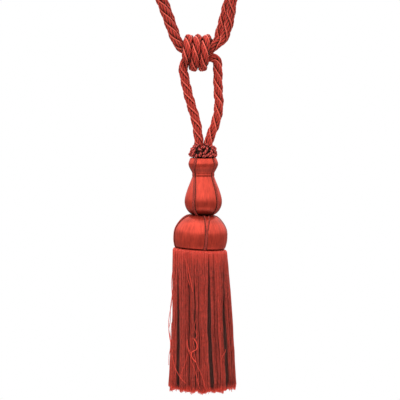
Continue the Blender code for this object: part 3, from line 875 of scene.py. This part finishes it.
# %% Make the ruff
yarns = Yarns()
for tier, (z, curls, out, curl_r) in enumerate(RUFF_TIERS):
    for i in range(curls):
        turn = 2 * math.pi * (i + 0.5 * (tier % 2) + chance.uniform(-0.2, 0.2)) / curls
        curl(yarns, turn, z, out, curl_r)
for z in np.arange(RUFF_TOP - 1.2, RUFF_FOOT, -TURN_FALL):
    turns = np.linspace(0, 2 * np.pi, TURN_PLACES)
    deep = 6.6 + 3.0 * min(1.0, (RUFF_TOP - z) / 6)
    ring = np.column_stack([
        UPPER_X + TURN_WIDE * np.sin(turns), -deep * np.cos(turns), np.full(TURN_PLACES, z)
    ])
    line = smooth_line(ring * MM, TURN_STEP * MM)
    # Painted shade: the turns round the neck are dark, as they lie behind the curls.
    twist_pair(yarns, line, TURN_YARN * MM, TURN_PITCH * MM, z, openness=0.3)
ruff = yarns.piece("ruff", [ruff_cord])
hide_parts("neck_ruff")
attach(ruff, "root")

# %% [markdown]
# ## The skirt
# The skirt is some thousands of cut threads, tied at the head and turned down over a bound
# edge. As they hang, they part into hanks with dark gaps between them, and each hank is made of
# small locks. The threads are made as rows of points, one array for a whole layer, because
# placing each by hand would be hopeless. A gap is a row in a table: where it runs, where it
# opens and how wide. Threads that hang in a gap sink in, those beside it follow its line, and
# those further off stay. At the left side, where some threads have worked loose, the others lie
# in a shallow hollow.

# %% Sizes of the skirt, in millimetres and degrees
SKIRT_TOP_X, SKIRT_TIP_X, SKIRT_TOP, SKIRT_TIP = -0.2, 2.6, -378.2, -527.0
HEAD_R, TIP_R = 28.9, 36.4
BOW = 3.0
THREAD_LENGTH = 0.148  # in metres
GAPS = (
    # angle at the head, halfway and at the tips, where it opens, width halfway and at the tips
    (-56.5, -52.4, -46.8, 0.05, 6.2, 6),
    (-25.5, -25, -24, 0.10, 2, 1),
    (-14, -13, -14, 0.12, 2.4, 1.2),
    (-5.5, -6, -4, 0.18, 1.7, 1),
    (19.6, 14.2, 17.4, 0.02, 4.8, 5),
    (35.2, 34, 34.6, 0.25, 0.8, 0.8),
    (57.5, 47.4, 49, 0.08, 5.6, 6.2),
    (88, 86, 90, 0.15, 2, 3),
    (121, 124, 122, 0.10, 2.6, 3.8),
    (150, 148, 151, 0.25, 1, 1.6),
    (178, 181, 179, 0.10, 3, 3.6),
    (207, 205, 208, 0.20, 1.4, 2.2),
    (236, 240, 238, 0.12, 2.4, 4),
    (268, 266, 267, 0.15, 1.8, 2.6),
)
GAP_SPREAD = 16.0  # how far from a gap the threads still follow its line
GAP_WANDERS = ((0.6, 13, 2), (0.4, 29, 5))  # degrees, waves down the fall, and phase
GAP_SINK, GAP_OPEN = 3.4, 0.5
GAP_EDGE, GAP_SHADE = 0.6, 1.3  # angles in which a gap's side and its shade fade
LOCK = 3.3  # the width of a small lock of threads
LOCK_PINCH, LOCK_CROWN = 0.22, 0.55
LOCK_DRAWS = 200  # one for each lock, and some over
# How far chance moves a lock, a thread, its crinkles and its cut end: round the skirt, then outwards.
LOCK_SWAY, THREAD_SWAY, CRINKLE, FRAY = (0.25, 0.28), 0.30, (0.34, 0.14), (1.0, 0.35)
THREAD_UNEVEN, LOCK_UNEVEN = 0.9, 1.2  # in length
LIP_FALL, LIP_IN = (0.0, 0.006, 0.018), (-2.9, -0.8, 0.0)  # the turn over the bound edge
FRAYED_FROM, FRAYED_OVER = 0.93, 0.07  # shares of the fall: the tips stray at its end
HOLLOW_DEPTH, HOLLOW_AT, HOLLOW_REACH = 1.5, (-88, 0.47), (24, 0.19)  # angle and share of the fall
LIGHT_HANK_AT, LIGHT_HANK_REACH, LIGHT_HANK_TONE = -74, 15, 0.5


def skirt_radius(t):
    """The outer radius at a share of the fall, from the head to the tips."""
    return HEAD_R + (TIP_R - HEAD_R) * t


def skirt_middle_x(t):
    """Where the middle hangs: it leans to the right, and bows that way a little."""
    return SKIRT_TOP_X + (SKIRT_TIP_X - SKIRT_TOP_X) * t + BOW * t * (1 - t)


# %% Part the threads at the gaps
def part_at_gaps(angle, at_head, depth, fall):
    """The angle of each thread down its fall, how far it is sunk in a gap, and how much shade is painted
    on it.
    """
    sunk = np.zeros((len(at_head), len(fall)))
    # Painted shade: deeper threads are darker, and so are the threads in and beside a gap.
    dark = depth / 9 + np.zeros((len(at_head), len(fall)))
    for i, (top, half, tip, opens, half_width, tip_width) in enumerate(GAPS):
        away = np.abs((at_head - top + 180) % 360 - 180)[:, None]
        drift = np.interp(fall, (0, 0.5, 1), (0, half - top, tip - top))
        wander = sum(size * np.sin(waves * fall + phase * i) for size, waves, phase in GAP_WANDERS)
        width = np.interp(fall, (opens, 0.5, 1), (0, half_width, tip_width))
        opened = np.clip(width / GAP_OPEN, 0, 1)
        reaches = np.degrees(width / 2 / skirt_radius(fall))
        inside = np.clip((reaches - away) / GAP_EDGE + 0.5, 0, 1) * opened
        beside = np.exp(-np.clip(away - reaches, 0, 90) / GAP_SHADE) * opened
        follows = np.exp(-(away / GAP_SPREAD) ** 2)
        angle = angle + follows * (drift + wander * np.clip(fall * 5, 0, 1))
        sunk = np.maximum(sunk, inside)
        dark = dark + inside + beside * (0.12 + depth / 2.2)
    return angle, sunk, dark


# %% The thread builder
def hang_threads(name, count, depths, thread_r, joints, look, seed, part=1.0):
    """A layer of threads. depths is how many mm it reaches in, part how much it sinks in a gap."""
    chance = np.random.default_rng(seed)
    fall = np.concatenate([LIP_FALL, np.linspace(0.045, 1, joints - len(LIP_FALL))])
    t = fall[None, :]
    at_head = np.sort(chance.uniform(-180, 180, count))
    share = chance.uniform(0, 1, count) ** 0.8
    depth = (depths[0] + (depths[1] - depths[0]) * share)[:, None]
    lock_at = (at_head + chance.normal(0, 0.25, count)) / LOCK
    lock = np.floor(lock_at).astype(int) % round(360 / LOCK)
    in_lock = (lock_at - np.floor(lock_at) - 0.5)[:, None]
    sway = chance.normal(0, 1, LOCK_DRAWS)[lock][:, None]
    lock_tone = chance.uniform(0, 1, LOCK_DRAWS)[lock]

    angle = at_head[:, None] - in_lock * LOCK * LOCK_PINCH * np.clip(t * 3, 0, 1)
    angle, sunk, dark = part_at_gaps(angle, at_head, depth, fall)
    angle = angle + sway * LOCK_SWAY[0] * t**1.5 + chance.normal(0, THREAD_SWAY, (count, 1)) * t
    crinkle = np.clip(t * 6, 0, 1) * (1 - 0.6 * sunk)
    frayed = np.clip((t - FRAYED_FROM) / FRAYED_OVER, 0, 1)
    angle = angle + chance.normal(0, CRINKLE[0], angle.shape) * crinkle
    angle = angle + chance.normal(0, FRAY[0], (count, 1)) * frayed

    lock_round = (1 - np.sqrt(1 - 0.9 * (2 * in_lock) ** 2)) * LOCK_CROWN * np.clip(t * 4, 0, 1)
    reach = skirt_radius(t) - depth * (1 + 0.4 * t) - GAP_SINK * part * sunk - lock_round
    reach = reach + LOCK_SWAY[1] * sway * np.sin(np.pi * np.clip(t * 1.1, 0, 1))
    reach = reach + chance.normal(0, CRINKLE[1], angle.shape) * crinkle
    reach = reach + chance.normal(0, FRAY[1], (count, 1)) * frayed
    round_it, down_it = (angle - HOLLOW_AT[0]) / HOLLOW_REACH[0], (t - HOLLOW_AT[1]) / HOLLOW_REACH[1]
    reach = reach - HOLLOW_DEPTH * np.exp(-(round_it**2) - down_it**2)
    reach[:, : len(LIP_IN)] += np.array(LIP_IN)
    length = SKIRT_TOP - SKIRT_TIP + chance.normal(0, THREAD_UNEVEN, (count, 1))
    length = length + LOCK_UNEVEN * chance.normal(0, 1, LOCK_DRAWS)[lock][:, None]

    a = np.radians(angle)
    x = skirt_middle_x(t) + reach * np.sin(a)
    tilt = math.tan(LOWER_LEAN) * (x - SKIRT_TOP_X) * np.clip(1 - t * 8, 0, 1)
    lines = np.stack([x, -reach * np.cos(a), SKIRT_TOP - tilt - t * length], axis=-1) * MM
    tone = 0.7 * lock_tone + 0.3 * chance.uniform(0, 1, count)
    light_hank = np.exp(-(((at_head - LIGHT_HANK_AT) / LIGHT_HANK_REACH) ** 2))
    tone = np.clip(tone + LIGHT_HANK_TONE * light_hank, 0, 1)
    corner = 2 * np.pi * np.arange(3) / 3 + chance.uniform(0, 6, (count, 1))
    out = np.stack([np.sin(a), -np.cos(a), np.zeros_like(a)], axis=-1)
    beside = np.stack([np.cos(a), np.sin(a), np.zeros_like(a)], axis=-1)
    rings = rings_round(lines, out, beside, thread_r * MM, corner[:, None])
    yarns = Yarns()
    for i in range(count):
        tones = {"tone": tone[i], "fall": fall[:, None], "deep": dark[i][:, None], "lock": lock[i]}
        yarns.tube(rings[i], 0, fall * THREAD_LENGTH, **tones)
    layer = yarns.piece(name, [look])
    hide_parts("skirt")
    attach(layer, "root")


# %% [markdown]
# ## Skirt thread
# Each thread has a tone of its own, so neighbours differ, and each lock has one too, with softer
# patches along it. The hank at the left edge is lighter. Cut ends show the thread's inside, which
# is a clearer red. Threads that lie deep or in a gap get painted shade, and the turn over the bound
# edge gets a painted highlight in the same clearer red.

# %% Skirt thread
THREAD_FIBRES, LOCK_PATCHES = 420, 300  # grains in a metre of thread

thread_look = Look("skirt_thread", Specular_IOR_Level=0.4, Specular_Tint=(1.0, 0.4, 0.3, 1.0))
length, around = thread_look.uv("lay")
own, fall, deep, lock = (thread_look.tone(name) for name in ("tone", "fall", "deep", "lock"))
fibres = thread_look.grain(length * THREAD_FIBRES, own * 90, around * 2)
patches = thread_look.grain(length * LOCK_PATCHES, lock * 7.3, 1.0)
tone = own * 0.5 + thread_look.clip(fibres, 0.35, 0.65) * 0.2 + thread_look.clip(patches, 0.38, 0.62) * 0.3
tip = thread_look.clip(fall, 0.97, 1.0)
# A painted highlight: the turn over the bound edge is made a lighter, clearer red.
lip = 1 - thread_look.clip(fall, 0.0, 0.13)
body = thread_look.between(tone, (0.13, 0.026, 0.021), (0.66, 0.072, 0.050))
# Painted shade on threads that lie deep or in a gap.
body = thread_look.between(thread_look.clip(deep, 0.12, 0.80), body, (0.092, 0.039, 0.033))
thread_look.paint(thread_look.between(tip * 0.95 + lip * 0.5, body, (0.90, 0.085, 0.055)))
thread_look.rough(0.36 + 0.2 * fibres)

# %% Hang the skirt
hang_threads("skirt_outer", 2200, (0.0, 1.6), thread_r=0.29, joints=15, look=thread_look, seed=3)
hang_threads("skirt_middle", 2600, (1.2, 5.5), thread_r=0.36, joints=9, look=thread_look, seed=5, part=0.8)
hang_threads("skirt_inner", 1400, (5.0, 13.0), thread_r=0.60, joints=8, look=thread_look, seed=7, part=0.3)

# %% [markdown]
# ## Stray threads
# A few threads have worked loose. Three bow out at the left side, one has curled up on the front
# with another that joins it, and some lie slanting over the others. Each is a row of places across
# and down, in millimetres, and lies just proud of the skirt there. The rows are the places that
# the camera sees from four degrees up, so a thread on the front is set a little higher.

# %% Lay the stray threads
STRAYS = (
    # how clear a red, thread radius, then rows of x and z, from the upper end down
    (0.6, 0.34, ((-29.3, -402), (-30.1, -408.7), (-30.6, -416.2), (-30.3, -422.6), (-29.8, -431.2),
        (-30.8, -439.7), (-32.6, -448.3), (-33.6, -456.8), (-33.4, -465.4), (-32, -474),
        (-31, -482.5))),
    (0.5, 0.34, ((-29.2, -420), (-30, -429), (-31.5, -439.7), (-31.8, -448.3), (-32, -456.8),
        (-33.5, -465.4), (-32.6, -474.1), (-31.4, -482.8), (-32.2, -491.4))),
    (0.5, 0.30, ((-30.4, -458), (-31, -466), (-31.8, -476), (-32, -486), (-33.4, -494),
        (-33.6, -504))),
    (0.7, 0.32, ((-13, -394), (-11.6, -404), (-9, -416), (-7.6, -424))),
    (0.6, 0.27, ((-15.6, -388), (-13.6, -400), (-13.4, -408), (-11, -417))),
    (0.8, 0.48, ((-6.6, -473.4), (-4.4, -476.6), (-3, -480.6), (-3.6, -484.6), (-8.4, -488),
        (-9.4, -491), (-7.8, -494.6), (-4.4, -498.6))),
    (0.5, 0.32, ((-14, -475.6), (-13.2, -481), (-11.4, -486), (-8.6, -490.4))),
    (0.6, 0.26, ((-13.6, -476), (-12.8, -484), (-10.8, -490), (-9.4, -497), (-5.6, -507),
        (-2.6, -518), (-0.4, -527))),
    (0.6, 0.26, ((-5.6, -490), (-3.6, -500.6), (1, -510), (4.2, -520), (5.6, -527.6))),
    (0.6, 0.26, ((-13, -490), (-15.8, -500), (-19.6, -510), (-21.4, -518))),
    (0.6, 0.27, ((-29.6, -492.6), (-27.6, -502.8), (-24.4, -510), (-19.6, -517), (-14.8, -521.6))),
    (0.6, 0.26, ((27.4, -485.4), (26.6, -488.6), (24.4, -491.4), (23, -496))),
    (0.4, 0.24, ((-4, -452), (-6.2, -462), (-3.4, -470), (-7, -478), (-5, -484))),
)
STRAY_PROUD = 0.5  # mm that they lie outside the skirt
STRAY_STEP = 0.8 * MM
STRAY_SIDES = 5
STRAY_EDGE = 0.99  # they stay this near to the skirt's side, from its middle
SEEN_RISE = 0.07  # the slope of the camera's line of sight

yarns = Yarns()
for clear, thread_r, places in STRAYS:
    x, z = np.array(places).T
    t = np.clip((SKIRT_TOP - z) / (SKIRT_TOP - SKIRT_TIP), 0, 1)
    radius = skirt_radius(t) + STRAY_PROUD
    from_middle = np.clip((x - skirt_middle_x(t)) / radius, -STRAY_EDGE, STRAY_EDGE)
    y = -radius * np.sqrt(1 - from_middle**2)
    line = smooth_line(np.column_stack([x, y, z - SEEN_RISE * y]) * MM, STRAY_STEP)
    first, second = sideways(line)
    corner = 2 * np.pi * np.arange(STRAY_SIDES) / STRAY_SIDES
    rings = rings_round(line, first, second, thread_r * MM, corner)
    walked = np.arange(len(line)) * STRAY_STEP
    yarns.tube(rings, 0, walked, tone=0.6, fall=0.97 + 0.03 * clear, deep=0.0, lock=0.0)
strays = yarns.piece("stray_threads", [thread_look])
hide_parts("skirt")
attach(strays, "root")
